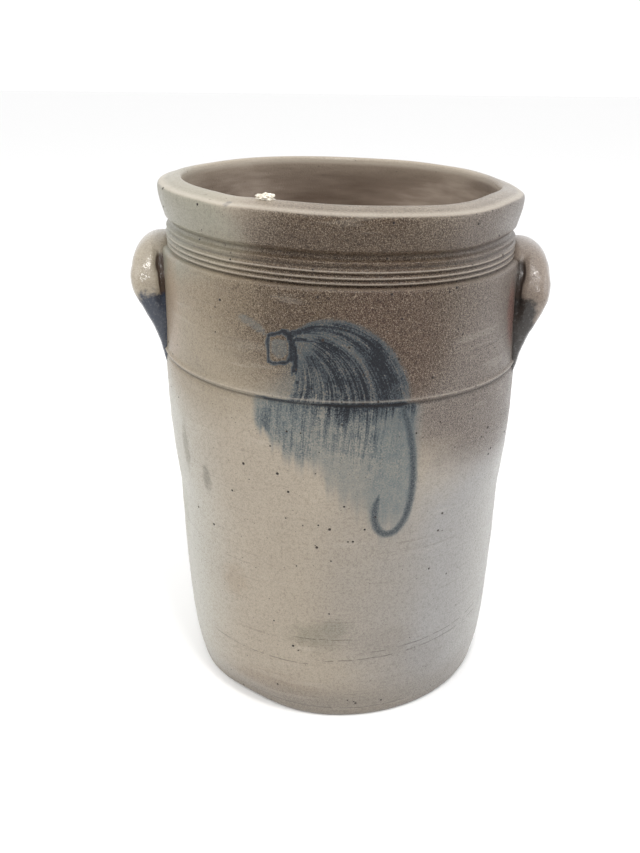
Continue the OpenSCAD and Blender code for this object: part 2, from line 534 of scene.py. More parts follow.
@dataclass
class CrockBody:
    """The thrown crock: foot, wall, tooled ridge, beads, neck, rim band and inside."""

    foot_radius: float = 90.6
    waist_radius: float = 100.1
    shoulder_radius: float = 104.5
    collar_radius: float = 102.1
    wall: float = 8.75
    floor: float = 11.0
    rim_radius: float = 101.8
    mouth_radius: float = 88.4
    neck_radius: float = 96.0
    top: float = 305.0
    ridge_height: float = 209.7
    ridge_relief: float = 1.15
    groove_depth: float = 1.0
    bead_core: float = 98.0
    bead_size: float = 1.25
    bead_heights: tuple[float, ...] = (268.7, 271.5, 274.6)
    columns: int = 300
    front_crowding: float = 0.6  # how far the columns crowd towards the decorated front
    ring_depth: float = 0.28
    seed: float = 3.0
    dents: tuple[RimDent, ...] = (
        RimDent(90, 8, 1.5, 1.2),
        RimDent(38, 16, -0.7, 0.9),
        RimDent(-20, 14, 0.5, -0.4),
        RimDent(-118, 18, -0.9, 0.5),
        RimDent(150, 15, 0.8, -0.4),
        RimDent(62, 11, -1.4, -0.4),
        RimDent(-84, 40, 1.1, 0.0),
        RimDent(121, 14, -1.6, -0.9),
        RimDent(-36, 7, -0.7, 0.7),
    )
    foot_cut: RimDent = RimDent(-36, 17, -2.2, -1.3)

    def outer_wall(self) -> np.ndarray:
        """Radius and height from the middle of the base up to the collar."""
        foot, waist, shoulder = self.foot_radius, self.waist_radius, self.shoulder_radius
        collar, core = self.collar_radius, self.bead_core
        bends = [
            Bend((foot * 0.3, 0), (foot * 0.7, 0), (foot, 0), 5),
            Bend((foot + 1.6, 1.2), (foot + 1.9, 3.5), (foot + 2.2, 6), 7),
            Bend((waist - 3, 20), (waist - 2, 44), (waist - 0.5, 86), 34),
            Bend((waist - 0.3, 98), (waist - 0.1, 106), (waist, 114), 14),
            Bend((waist + 0.2, 136), (shoulder, 150), (shoulder, 185), 54),
            Bend((shoulder, 198), (collar + 1.2, 236), (collar, 264.6), 86),
            Bend((collar - 0.1, 266.0), (collar - 1.2, 266.6), (core + 0.2, 266.8), 6),
        ]
        return self.follow(np.zeros(2), bends)

    def rim_and_inside(self, start: np.ndarray) -> np.ndarray:
        """Radius and height from the neck over the rim, down inside, to the middle of the floor.

        Args:
            start: Last point of the beads.

        Returns:
            The points after that one.
        """
        neck, rim, mouth, top = self.neck_radius, self.rim_radius, self.mouth_radius, self.top
        inside, floor = self.shoulder_radius - self.wall, self.floor
        low = self.waist_radius - self.wall
        bends = [
            Bend((neck + 0.3, 279.8), (neck, 280.4), (neck, 281.2), 5),
            Bend((neck + 0.2, 283.2), (rim - 3.4, 283.4), (rim - 2.7, 285.0), 8),
            Bend((rim - 2.2, 288.0), (rim - 0.1, 293.5), (rim, top - 6), 12),
            Bend((rim, top - 4), (rim - 0.5, top - 2.8), (rim - 2.6, top - 2.6), 8),
            Bend((rim - 5, top - 1.9), (mouth + 5, top - 0.1), (mouth + 2.4, top), 9),
            Bend((mouth + 0.7, top), (mouth, top - 0.9), (mouth, top - 3.0), 6),
            Bend((mouth + 0.4, top - 14), (inside, top - 26), (inside, top - 52), 12),
            Bend((inside, 185 - 20), (low, 150), (low, 122), 9),
            Bend((low, 70), (low - 1.4, floor + 30), (low - 2, floor + 14), 6),
            Bend((low - 2.4, floor + 6), (low - 9, floor), (low - 16, floor), 5),
            Bend((low - 40, floor + 0.6), (22, floor + 1.2), (0, floor + 1.0), 4),
        ]
        return self.follow(start, bends)[1:]

    @staticmethod
    def follow(start: np.ndarray, bends: Iterable[Bend]) -> np.ndarray:
        """Chains stretches of outline, from a start point."""
        points = [start[None, :]]
        for bend in bends:
            points.append(bend.points(points[-1][-1]))
        return np.vstack(points)

    def beads(self) -> np.ndarray:
        """Radius and height of the three fine beads and the small fillet over them."""
        heights = np.arange(267.1, 279.3, 0.3)
        radius = np.full_like(heights, self.bead_core)
        radius -= smoothstep(heights, 275.8, 277.2) * 0.9
        for centre in self.bead_heights:
            rise = np.sqrt(np.clip(self.bead_size**2 - (heights - centre) ** 2, 0, None))
            radius = np.maximum(radius, self.bead_core + rise)
        radius += 0.7 * np.exp(-(((heights - 278.4) / 0.7) ** 2))
        return np.column_stack([radius, heights])

    def outline(self) -> tuple[np.ndarray, Facts]:
        """The whole outline, with what each of its points is like.

        Returns:
            Radius and height of each point, and two facts: "inside", from 0 to 1, and
            "wear", which is 1 where a crest gets painted highlight and -1 where a groove gets painted
            shade.
        """
        wall = self.outer_wall()
        upper = wall[:, 1]
        plain = (upper > 150) & (upper < 250)
        ridge = self.ridge_relief * np.exp(-(((upper - self.ridge_height) / 1.15) ** 2))
        groove = self.groove_depth * np.exp(-(((upper - self.ridge_height + 2.4) / 0.9) ** 2))
        wall[:, 0] += np.where(plain, ridge - groove, 0)
        beads = self.beads()
        top = self.rim_and_inside(beads[-1])
        points = np.vstack([wall, beads, top])
        crest = len(points) - len(top) + 33
        inside = smoothstep(np.arange(len(points), dtype=float), crest + 8, crest + 20)
        return points, {"inside": inside, "wear": self.wear(points)}

    def wear(self, points: np.ndarray) -> np.ndarray:
        """Painted highlight on the crests of the tooling and the rim, and painted shade in the grooves.
        """
        up = points[:, 1]
        outer = (points[:, 0] > self.neck_radius - 1) | (up > self.top - 4)
        # Crests get painted highlight; dips get painted shade.
        crests = [(self.ridge_height + 0.3, 0.7, 0.55), (self.top - 2.8, 0.9, 0.85), (266.3, 0.8, 0.35)]
        crests += [(self.top - 0.6, 1.5, 0.55), *((height, 0.5, 0.75) for height in self.bead_heights)]
        dips = [(self.ridge_height - 2.5, 0.8, 1.0), (276.6, 0.9, 0.8), (282.2, 1.2, 0.7)]
        dips += [(height - 1.4, 0.35, 0.9) for height in self.bead_heights]

        def bands(levels: list[tuple[float, float, float]]) -> np.ndarray:
            """Soft bands, each with a height, a spread and a weight."""
            soft = ((np.exp(-(((up - at) / spread) ** 2)), weight) for at, spread, weight in levels)
            return sum(weight * (bell * outer) for bell, weight in soft)

        return bands(crests) - bands(dips)

    def inputs(self) -> dict[str, Any]:
        """The lathe's inputs: its sizes, each dent and the cut in the foot."""
        values: dict[str, Any] = {
            "Columns": self.columns,
            "Front Crowding": self.front_crowding,
            "Ring Depth": self.ring_depth,
            "Seed": self.seed,
        }
        named = {f"Dent {number}": dent for number, dent in enumerate(self.dents)}
        for name, dent in {**named, "Foot Cut": self.foot_cut}.items():
            values[name] = (dent.push, dent.drop, math.radians(dent.spread))
            values[f"{name} Angle"] = math.radians(dent.angle)
        return values

    def tree(self, warp: Tree, finish: Finish) -> Tree:
        """Builds the lathe: it spins the outline, rings it, dents it and warps it.

        Args:
            warp: The kiln warp group.
            finish: The crock's material.

        Returns:
            The tree.
        """
        takes = {"Geometry": "Geometry", **self.inputs()}
        sheet = Sheet.group("crock_lathe", SheetKind.SHAPE, takes, {"Geometry": "Geometry"})
        grid = GuideGrid(sheet)
        radius, _, height = grid.read().parts()
        facts = {name: grid.read(name, "FLOAT") for name in ("inside", "wear")}
        phase = grid.share * TAU
        turn = phase - sheet.math("SINE", phase) * sheet.take("Front Crowding")
        sine, cosine = sheet.math("SINE", turn), sheet.math("COSINE", turn)
        relief = self.rings(sheet, sine, cosine, height, facts["inside"])
        relief = relief * sheet.smooth(radius, 0.0, 12.0)
        radius, height = self.dent(sheet, turn, radius + relief, height)
        true = sheet.vector(radius * sine, radius * cosine * -1.0, height)
        return grid.fire(true, facts, warp, finish)

    @staticmethod
    def rings(sheet: Sheet, sine: Flow, cosine: Flow, height: Flow, inside: Flow) -> Flow:
        """Throwing rings, left by the fingers: fine outside, bolder inside."""
        wander = sheet.take("Seed")
        fine = sheet.vector(sine * 0.5 + wander, cosine * 0.5, height / 5.0)
        bold = sheet.vector(sine * 0.4 + wander, cosine * 0.4, height / 13.0)
        outer = (sheet.noise(fine, 2.0, 0.55) - 0.5) * 1.1
        outer = outer + (sheet.noise(bold, 0.0) - 0.5) * 2.2
        inner = (sheet.noise(bold, 1.0) - 0.5) * 7.0
        plain = sheet.smooth(height, 8.0, 26.0) * sheet.remap(height, 262.0, 268.0, 1.0, 0.25)
        return (outer * (1.0 - inside) + inner * inside) * plain * sheet.take("Ring Depth")

    def dent(self, sheet: Sheet, turn: Flow, radius: Flow, height: Flow) -> tuple[Flow, Flow]:
        """Pushes and drops the rim at each dent, and the foot at its cut."""
        near_rim = sheet.smooth(height, 258.0, 298.0)
        near_foot = (1.0 - sheet.smooth(height, 2.0, 20.0)) * sheet.smooth(radius, 40.0, 88.0)
        for name in [label for label in self.inputs() if f"{label} Angle" in self.inputs()]:
            push, drop, spread = sheet.take(name).parts()
            apart = sheet.math("WRAP", turn - sheet.take(f"{name} Angle"), math.pi, -math.pi)
            share = apart / spread
            near = near_foot if name == "Foot Cut" else near_rim
            bell = sheet.math("EXPONENT", share * share * -1.0) * near
            radius = radius + bell * push
            height = height - bell * drop
        return radius, height

    def build(self, warp: KilnWarp, warp_tree: Tree, finish: Finish) -> bpy.types.Object:
        """Makes the crock's mesh.

        Args:
            warp: The warp's sizes, to lay the slip where the warped wall is.
            warp_tree: The warp's group.
            finish: The crock's material.

        Returns:
            The finished piece, before it rides on the frame.
        """
        points, facts = self.outline()
        spots = np.column_stack([points[:, 0], np.zeros(len(points)), points[:, 1]])
        guide = guide_mesh("crock_outline", spots, facts)
        piece = grow("crock_body_thrown", guide, self.tree(warp_tree, finish), self.inputs())
        x, y, z = (vertex_rows(piece.data, "co") / MM).T
        around = np.arctan2(x, -y) * self.shoulder_radius
        SlipDecoration().paint(piece.data, around, z - warp.lift(x, z), np.hypot(x, y) > 97.0)
        return piece


@dataclass
class LugHandle:
    """One strap handle, arched over a finger gap and luted edge-on to the wall."""

    side: int  # 1 for the right handle, -1 for the left
    lift: float  # how far its crest was set above the other measures
    half_span: float  # half the width of its arch, between the middles of its legs
    web_reach: float  # how far its thin root stands out of the wall
    seed: float
    spring: float = 245.0  # height where the arch springs from the legs
    crown: float = 265.6  # height of the middle line at the top of the arch
    tail: float = 195.0  # height where the legs run into the wall
    half_strap: float = 7.4
    root_radius: float = 97.0
    wall_radius: float = 103.0
    web_share: float = 0.55  # width of the root, as a share of the strap's
    rows: int = 170
    columns: int = 104
    ear: tuple[tuple[float, float], ...] = (
        (194, 102.0), (204, 105.2), (214, 107.4), (224, 110.8), (234, 115.3), (241, 118.7),
        (246, 120.4), (251, 120.8), (258, 119.6), (264, 117.5), (268.5, 114.8), (271.5, 111.0),
        (273.4, 104.5),
    )  # height and reach of its outer edge, seen from the front

    @property
    def node(self) -> str:
        """The CAD node that the handle stands for."""
        return "right_handle" if self.side > 0 else "left_handle"

    def route(self) -> tuple[np.ndarray, Facts]:
        """The strap's middle line round and up the wall, with its thickness and the way across it."""
        share = np.linspace(-1, 1, 600)
        turn = np.clip(share / 0.5, -1, 1) * math.pi / 2
        down = np.clip((np.abs(share) - 0.5) / 0.5, 0, 1)
        around = self.half_span * np.sin(turn) - np.sign(share) * 1.2 * down**2
        up = self.spring + (self.crown - self.spring) * np.cos(turn)
        up -= down * (self.spring - self.tail)
        path = np.column_stack([around, up, np.zeros_like(up)])
        steps = np.r_[0, np.cumsum(np.hypot(*np.diff(path[:, :2], axis=0).T))]
        even = np.linspace(0, steps[-1], self.rows)
        path = np.column_stack([np.interp(even, steps, path[:, axis]) for axis in range(3)])
        along = np.gradient(path, axis=0)
        along /= np.linalg.norm(along, axis=1)[:, None]
        across = np.column_stack([-along[:, 1], along[:, 0], np.zeros(len(along))])
        full = smoothstep(path[:, 1], self.tail - 2, self.tail + 34)
        half = self.half_strap * (0.3 + 0.7 * full)
        half[0] = half[-1] = 0.0
        return path, {"across": across, "half": half}

    def inputs(self) -> dict[str, Any]:
        """The sweep's inputs."""
        return {
            "Columns": self.columns,
            "Side": float(self.side),
            "Lift": self.lift,
            "Root Radius": self.root_radius,
            "Wall Radius": self.wall_radius,
            "Web Reach": self.web_reach,
            "Web Share": self.web_share,
            "Seed": self.seed,
        }

    def tree(self, warp: Tree, finish: Finish) -> Tree:
        """Builds the sweep that lays the strap's section along its route on the wall.

        Args:
            warp: The kiln warp group.
            finish: The handle's material.

        Returns:
            The tree.
        """
        takes = {"Geometry": "Geometry", **self.inputs()}
        sheet = Sheet.group("lug_sweep", SheetKind.SHAPE, takes, {"Geometry": "Geometry"})
        grid = GuideGrid(sheet)
        centre, across, half = grid.read(), grid.read("across"), grid.read("half", "FLOAT")
        turn = grid.share * TAU
        out = self.rounded(sheet, sheet.math("COSINE", turn), 0.62) * -0.5 + 0.5
        face = self.rounded(sheet, sheet.math("SINE", turn), 0.55)
        root, wall = sheet.take("Root Radius"), sheet.take("Wall Radius")
        _, first_up, _ = (centre + across * (half * face)).parts()
        radius = root + out * (sheet.curve(first_up, self.ear) - root)
        step = wall + sheet.take("Web Reach")
        web = 1.0 - sheet.smooth(radius, step - 0.5, step + 0.5)
        web = web * sheet.smooth(centre.parts()[1], 232.0, 250.0)
        web = web * (1.0 - sheet.smooth(first_up, self.crown - 4.0, self.crown + 4.0))
        width = 1.0 - web * (1.0 - sheet.take("Web Share"))
        spot = centre + across * (half * face * width)
        around, height, _ = spot.parts()
        angle = sheet.take("Side") * (around / wall + math.pi / 2)
        lumps = sheet.noise(spot / 8.0 + sheet.take("Seed"), 2.0, 0.5) - 0.5
        pulls = sheet.noise(sheet.vector(radius / 1.1, face * 1.5, height / 40.0), 1.0) - 0.5
        radius = radius + (lumps * 1.1 + pulls * 0.35) * out
        height = height + sheet.take("Lift") * sheet.smooth(height, 228.0, 264.0)
        forward = radius * sheet.math("COSINE", angle) * -1.0
        true = sheet.vector(radius * sheet.math("SINE", angle), forward, height)
        return grid.fire(true, {"web": web}, warp, finish)

    @staticmethod
    def rounded(sheet: Sheet, wave: Flow, power: float) -> Flow:
        """Squares a sine or cosine off, keeping its sign."""
        return sheet.math("SIGN", wave) * sheet.math("POWER", sheet.math("ABSOLUTE", wave), power)

    def build(self, warp_tree: Tree, finish: Finish) -> bpy.types.Object:
        """Makes the handle's mesh."""
        guide = guide_mesh(f"{self.node}_route", *self.route())
        return grow(f"{self.node}_strap", guide, self.tree(warp_tree, finish), self.inputs())


@dataclass
class KilnWad:
    """The crumb of white wadding that stuck to the inner edge of the rim."""

    centre: Place = (-36.4, -83.6, 305.3)
    sizes: Place = (4.6, 2.7, 2.2)  # half its length round the rim, its depth and its height
    turn: float = -23.5
    seed: float = 4.0

    def inputs(self) -> dict[str, Any]:
        """The lump's inputs."""
        turn = (0.0, 0.0, math.radians(self.turn))
        return {"Centre": self.centre, "Sizes": self.sizes, "Turn": turn, "Seed": self.seed}

    def tree(self, warp: Tree, finish: Finish) -> Tree:
        """Builds the lump: a ball, broken up twice, squashed, turned and set on the rim."""
        takes = {"Geometry": "Geometry", **self.inputs()}
        sheet = Sheet.group("wad_lump", SheetKind.SHAPE, takes, {"Geometry": "Geometry"})
        ball = sheet.flow("GeometryNodeMeshIcoSphere", [1.0, 6])
        place = sheet.flow("GeometryNodeInputPosition")
        lumps = sheet.noise(place * 1.5 + sheet.take("Seed"), 1.0) - 0.5
        crumbs = sheet.noise(place * 5.0 + sheet.take("Seed"), 3.0, 0.65) - 0.5
        lump = place * (lumps * 1.7 + crumbs * 0.55 + 1.0) * sheet.take("Sizes")
        inputs = {"Vector": lump, "Rotation": sheet.take("Turn")}
        turned = sheet.flow("ShaderNodeVectorRotate", inputs, rotation_type="EULER_XYZ")
        return fire_shape(sheet, ball, turned + sheet.take("Centre"), warp, finish)

    def build(self, warp_tree: Tree, finish: Finish) -> bpy.types.Object:
        """Makes the wad's mesh."""
        guide = guide_mesh("wad_seat", np.array([self.centre]), {})
        return grow("kiln_wad_lump", guide, self.tree(warp_tree, finish), self.inputs())


@dataclass
class IronBlisters:
    """Small glassy blisters of melted iron, scattered over the outside of the wall."""

    count: int = 420
    small: float = 0.22  # radius of the smallest
    large: float = 0.85  # radius of the largest
    flatness: float = 0.3
    seed: int = 23

    def seats(self, wall: bpy.types.Mesh) -> tuple[np.ndarray, Facts]:
        """Picks points of the wall, thicker in some places than in others.

        Args:
            wall: The crock's mesh.

        Returns:
            The points, and the way out of the wall and a size for each.
        """
        rng = np.random.default_rng(self.seed)
        places, normals = vertex_rows(wall, "co") / MM, vertex_rows(wall, "normal")
        outward = (normals[:, :2] * places[:, :2]).sum(axis=1) > 80
        able = np.flatnonzero(outward & (places[:, 2] > 4))
        homes = places[rng.choice(able, 26)]
        spots = []
        for _ in range(self.count):
            home = homes[rng.integers(len(homes))] + rng.normal(0, 26, 3)
            apart = np.linalg.norm(places[able] - home, axis=1)
            near = rng.choice(able) if rng.uniform() < 0.45 else able[int(np.argmin(apart))]
            spots.append(near)
        sizes = self.small + (self.large - self.small) * rng.uniform(size=len(spots)) ** 3
        return places[spots], {"out": normals[spots], "size": sizes}

    def tree(self, finish: Finish) -> Tree:
        """Builds the scatter: one flat bead on each point, turned to lie on the wall."""
        takes = {"Geometry": "Geometry", "Flatness": self.flatness}
        sheet = Sheet.group("blister_scatter", SheetKind.SHAPE, takes, {"Geometry": "Geometry"})
        bead = sheet.flow("GeometryNodeMeshIcoSphere", [1.0 * MM, 2])
        out, size = (
            sheet.flow("GeometryNodeInputNamedAttribute", [name], data_type=sort)
            for name, sort in (("out", "FLOAT_VECTOR"), ("size", "FLOAT"))
        )
        turn = sheet.flow("FunctionNodeAlignRotationToVector", {"Vector": out}, axis="Z")
        scale = sheet.vector(size, size, size * sheet.take("Flatness"))
        inputs = {"Points": sheet.take("Geometry"), "Instance": bead, "Rotation": turn, "Scale": scale}
        return end_shape(sheet, sheet.flow("GeometryNodeInstanceOnPoints", inputs), finish)

    def build(self, wall: bpy.types.Mesh, finish: Finish) -> bpy.types.Object:
        """Makes the blisters' mesh."""
        points, facts = self.seats(wall)
        guide = guide_mesh("blister_seats", points * MM, facts)
        return grow("iron_blisters", guide, self.tree(finish), {"Flatness": self.flatness})


# ------------------------------------------------------------- the decoration


class SlipTone(Enum):
    """The two strengths of slip, and the attribute channel that each is kept in."""

    COBALT = 0
    WASH = 1


@dataclass(frozen=True)
class BrushStroke:
    """One pull of the slip brush."""

    path: tuple[tuple[float, float], ...]  # points round from the front centre line, and up
    width: float  # full width at its widest
    load: float  # how much slip it lays, from 0 to 1
    tone: SlipTone = SlipTone.COBALT
    pooling: float = 0.3  # how far the slip gathers at its edges
    streaks: float = 0.4  # how far the bristles break it up
    swell: float = 0.1  # share of its length over which it opens
    thin: float = 0.3  # share of its length over which it closes
    softness: float = 0.3  # share of the half width over which its edge fades

    def curve(self) -> np.ndarray:
        """A smooth line through the points."""
        points = np.array(self.path, dtype=float)
        padded = np.vstack([2 * points[0] - points[1], points, 2 * points[-1] - points[-2]])
        pieces = []
        share = np.linspace(0, 1, 14, endpoint=False)[:, None]
        for a, b, c, d in zip(padded, padded[1:], padded[2:], padded[3:]):
            square = (2 * a - 5 * b + 4 * c - d) * share**2
            cube = (3 * b - a - 3 * c + d) * share**3
            pieces.append(0.5 * (2 * b + (c - a) * share + square + cube))
        return np.vstack([*pieces, points[-1:]])

    def nearest(self, spots: np.ndarray, line: np.ndarray) -> tuple[np.ndarray, np.ndarray]:
        """Where each spot is against the stroke's middle line.

        Args:
            spots: One row of two numbers for each spot.
            line: The middle line.

        Returns:
            How far along the line it is, from 0 to 1, and how far aside, with a sign.
        """
        start, step = line[:-1], np.diff(line, axis=0)
        long = np.hypot(*step.T)
        run = np.r_[0, np.cumsum(long)]
        best = np.full(len(spots), np.inf)
        along, aside = np.zeros(len(spots)), np.zeros(len(spots))
        for origin, leg, size, before in zip(start, step, long, run):
            offset = spots - origin
            share = np.clip(offset @ leg / size**2, 0, 1)
            gap = offset - share[:, None] * leg
            distance = np.hypot(gap[:, 0], gap[:, 1])
            closer = distance < best
            best[closer] = distance[closer]
            along[closer] = (before + share * size)[closer] / run[-1]
            cross = leg[0] * offset[:, 1] - leg[1] * offset[:, 0]
            aside[closer] = (np.sign(cross) * distance)[closer]
        return along, aside

    def cover(self, around: np.ndarray, up: np.ndarray, rng: np.random.Generator) -> np.ndarray:
        """How thickly the stroke covers each point.

        Args:
            around: Millimetres round from the front centre line.
            up: Millimetres up from the base.
            rng: Source of the bristle pattern.

        Returns:
            The cover at each point, from 0 to 1.
        """
        line = self.curve()
        waves = rng.uniform(size=(5, 3))
        cover = np.zeros_like(around)
        low, high = line.min(axis=0) - self.width, line.max(axis=0) + self.width
        near = (around > low[0]) & (around < high[0]) & (up > low[1]) & (up < high[1])
        if not near.any():
            return cover
        along, aside = self.nearest(np.column_stack([around[near], up[near]]), line)
        opening = np.clip(along / max(self.swell, 1e-3), 0, 1) ** 0.6
        closing = np.clip((1 - along) / max(self.thin, 1e-3), 0, 1) ** 0.6
        across = aside / (self.width / 2 * np.clip(np.minimum(opening, closing), 0.12, 1))
        mask = 1 - smoothstep(np.abs(across), 1 - self.softness, 1.05)
        comb = np.zeros(len(along))
        for pitch, phase, drift in waves:
            comb += np.sin((4 + 13 * pitch) * across + TAU * phase + 2.4 * drift * along)
        comb = np.clip(0.5 + comb / (2 * math.sqrt(len(waves))), 0, 1)
        edge = 1 - self.pooling + self.pooling * np.clip(np.abs(across), 0, 1) ** 2
        dry = self.streaks * (0.55 + 0.45 * along)
        cover[near] = self.load * mask * edge * (1 - dry * (1 - comb))
        return cover


@dataclass
class SlipDecoration:
    """A freely brushed plume in blue slip: a knot, a fan of bristle marks, a fringe and a loop.

    The fan and the fringe are kept as a density and a bristle direction, from which the
    finish draws the marks of single bristles.
    """

    seed: int = 11
    ridge: float = 207.4  # height of the scored groove that the plume crosses
    hub: tuple[float, float] = (-26.5, 241.0)  # where the fan starts
    curl: float = 1.1  # degrees that a bristle mark bends for each millimetre
    pitch: float = 3.0  # degrees between bristle marks in the fan
    comb: float = 1.9  # distance between bristle marks in the fringe

    def fan(self, around: np.ndarray, up: np.ndarray) -> tuple[np.ndarray, ...]:
        """The fan above the ridge: bristle density, wash, and bristle place across and along."""
        east, north = around - self.hub[0], up - self.hub[1]
        reach = np.hypot(east, north)
        start = np.degrees(np.arctan2(north, east)) + self.curl * reach
        start = np.where(start > 200, start - 360, start)
        body = smoothstep(start, -72, -40) * smoothstep(start, 60, 44)
        crest = smoothstep(start, 27, 38) * smoothstep(reach, 2, 6) * smoothstep(reach, 58, 22)
        second = smoothstep(start, -14, 2) * smoothstep(start, 27, 17)
        second *= smoothstep(reach, 11, 17) * smoothstep(reach, 62, 34)
        far = smoothstep(start, 4, 22) * smoothstep(reach, 34, 46) * smoothstep(reach, 78, 60)
        low = smoothstep(start, 4, -14) * smoothstep(reach, 8, 18)
        density = body * (0.38 + 0.56 * crest + 0.62 * second + 0.50 * far + 0.32 * low)
        density *= smoothstep(reach, 1.5, 5) * smoothstep(reach, 82, 62)
        wash = smoothstep(start, -95, -60) * smoothstep(start, 58, 44) * smoothstep(reach, 80, 56)
        return density, wash * 0.48, start / self.pitch, reach

    def fringe(self, around: np.ndarray, up: np.ndarray) -> tuple[np.ndarray, ...]:
        """The fringe under the ridge, in the same form as the fan."""
        below = self.ridge - up
        ragged = 2.6 * np.sin(around * 0.83) + 1.7 * np.sin(around * 1.91 + 1.0)
        places = [-46, -40, -33, -26, -18, -13, -6, 4, 12, 18, 24, 37, 43]
        hangs = [15, 21, 28, 35, 38, 36, 50, 60, 64, 70, 78, 76, 62]
        drop = below / np.maximum(np.interp(around, places, hangs) + ragged, 1)
        sides = smoothstep(around, -47.5, -44) * smoothstep(around, 46, 37)
        sides *= smoothstep(below, -2.5, 0.5)
        left = smoothstep(around, -8, -18)
        loop = smoothstep(around, 16, 24)
        density = 0.36 * left * smoothstep(drop, 1.02, 0.70)
        density += (1 - left) * 0.52 * smoothstep(drop, 0.95, 0.0) * (1 - 0.40 * loop)
        density += 0.40 * smoothstep(below, 13, 0) * smoothstep(around, -30, 5)
        plain = smoothstep(around, -24, -12) * smoothstep(around, 24, 10)
        wash = smoothstep(drop, 1.12, 0.72) * (0.95 - 0.22 * plain)
        return density * sides, wash * sides, around / self.comb + 0.04 * below, up

    def knot(self) -> list[BrushStroke]:
        """The small knot that the plume hangs from, with a thick stem and a drip."""
        ring = (
            (-36.6, 226.8), (-37.2, 232.5), (-37.2, 240.2), (-33.0, 242.4), (-27.6, 243.4),
            (-25.4, 237.5), (-26.2, 229.4), (-30.5, 227.6), (-36.4, 226.8),
        )
        stem = ((-30.5, 244.6), (-26.5, 242.6), (-24.0, 238.0), (-23.2, 230.0), (-22.6, 221.5))
        crest = ((-26.5, 242.5), (-19.0, 245.0), (-9.0, 246.0))
        under = ((-24.6, 240.2), (-18.0, 240.6), (-12.5, 239.8))
        inner = ((-22.8, 236.0), (-21.6, 229.0), (-22.4, 223.0))
        start = ((-54.0, 248.5), (-46.0, 245.6), (-38.0, 241.4))
        shade = ((-17.5, 234.0), (-13.5, 232.0), (-9.0, 225.0))
        fill, drip = ((-31.5, 240.0), (-30.6, 230.0)), ((-22.0, 219.8), (-21.7, 217.4))
        splash, hair = ((-63.6, 303.4), (-60.6, 301.4)), ((-24.2, 227.0), (-23.8, 220.0))
        wash = SlipTone.WASH
        dark = {"streaks": 0.12, "pooling": 0.1}
        return [
            BrushStroke(ring, 2.4, 1.0, swell=0.02, thin=0.02, softness=0.6, **dark),
            BrushStroke(stem, 3.8, 1.0, swell=0.12, thin=0.4, **dark),
            BrushStroke(crest, 3.6, 0.9, swell=0.1, thin=0.8, **dark),
            BrushStroke(under, 2.6, 0.95, swell=0.2, thin=0.5, **dark),
            BrushStroke(drip, 3.0, 0.95, swell=0.3, thin=0.3, **dark),
            BrushStroke(splash, 3.2, 1.0, swell=0.3, thin=0.3, **dark),
            BrushStroke(inner, 3.0, 0.9, swell=0.3, thin=0.3, softness=0.6, streaks=0.3),
            BrushStroke(hair, 1.2, 0.8, **dark),
            BrushStroke(start, 4.6, 0.8, wash, streaks=0.5),
            BrushStroke(fill, 9.5, 0.8, wash, streaks=0.1),
            BrushStroke(shade, 7.5, 0.78, streaks=0.5, thin=0.7, softness=0.8),
        ]

    def loop(self) -> list[BrushStroke]:
        """The long loop that hangs at the right, and the slip that ran into the groove."""
        path = (
            (27.0, 214.0), (32.5, 206.0), (36.8, 193.0), (39.6, 176.0), (40.2, 159.0), (38.4, 143.0),
            (34.0, 133.6), (27.6, 130.4), (22.2, 133.6), (19.8, 141.0), (19.8, 149.0), (21.6, 156.0),
        )
        low = self.ridge
        groove, left = ((-16.0, low), (36.0, low)), ((-45.5, low + 1.0), (-30.0, low + 0.2), (-16.0, low))
        entry = ((16.0, 222.0), (27.0, 214.0), (35.0, 207.5))
        plain = {"pooling": 0.0, "swell": 0.05, "softness": 0.9}
        return [
            BrushStroke(path, 9.0, 0.44, streaks=0.15, thin=0.06, **plain),
            BrushStroke(path[1:], 5.4, 0.26, streaks=0.2, thin=0.1, **plain),
            BrushStroke(groove, 2.8, 0.95, pooling=0.0, streaks=0.05, swell=0.3, thin=0.08),
            BrushStroke(left, 2.4, 0.7, pooling=0.0, streaks=0.1, swell=0.2, thin=0.5),
            BrushStroke(entry, 11.0, 0.62, pooling=0.1, streaks=0.5, softness=0.9),
        ]

    def paint(self, mesh: bpy.types.Mesh, around: np.ndarray, up: np.ndarray, outer: np.ndarray) -> None:
        """Keeps the slip on the mesh, as the colour "slip" and the vector "bristle".

        Args:
            mesh: The crock's mesh.
            around: Millimetres round from the front centre line, for each vertex.
            up: Height of each vertex on the true, unwarped wall.
            outer: Whether each vertex is on the outside.
        """
        rng = np.random.default_rng(self.seed)
        bare = np.ones((2, len(around)))
        for stroke in [*self.knot(), *self.loop()]:
            bare[stroke.tone.value] *= 1 - stroke.cover(around, up, rng) * outer
        above = smoothstep(up, self.ridge - 0.6, self.ridge + 0.6) * outer
        under = outer - above
        fan, fringe = self.fan(around, up), self.fringe(around, up)
        colours = np.ones((len(around), 4), dtype=np.float32)
        colours[:, 0] = 1 - bare[0]
        colours[:, 1] = 1 - bare[1] * (1 - fan[1] * above) * (1 - fringe[1] * under)
        colours[:, 2] = fan[0] * above + fringe[0] * under
        chosen = up > self.ridge
        bristle = np.zeros((len(around), 3), dtype=np.float32)
        bristle[:, 0] = np.where(chosen, fan[2], fringe[2] + 40.0)
        bristle[:, 1] = np.where(chosen, fan[3], fringe[3])
        slip = mesh.attributes.new("slip", "FLOAT_COLOR", "POINT")
        slip.data.foreach_set("color", colours.ravel())
        marks = mesh.attributes.new("bristle", "FLOAT_VECTOR", "POINT")
        marks.data.foreach_set("vector", bristle.ravel())


# --------------------------------------------------------------- the finishes


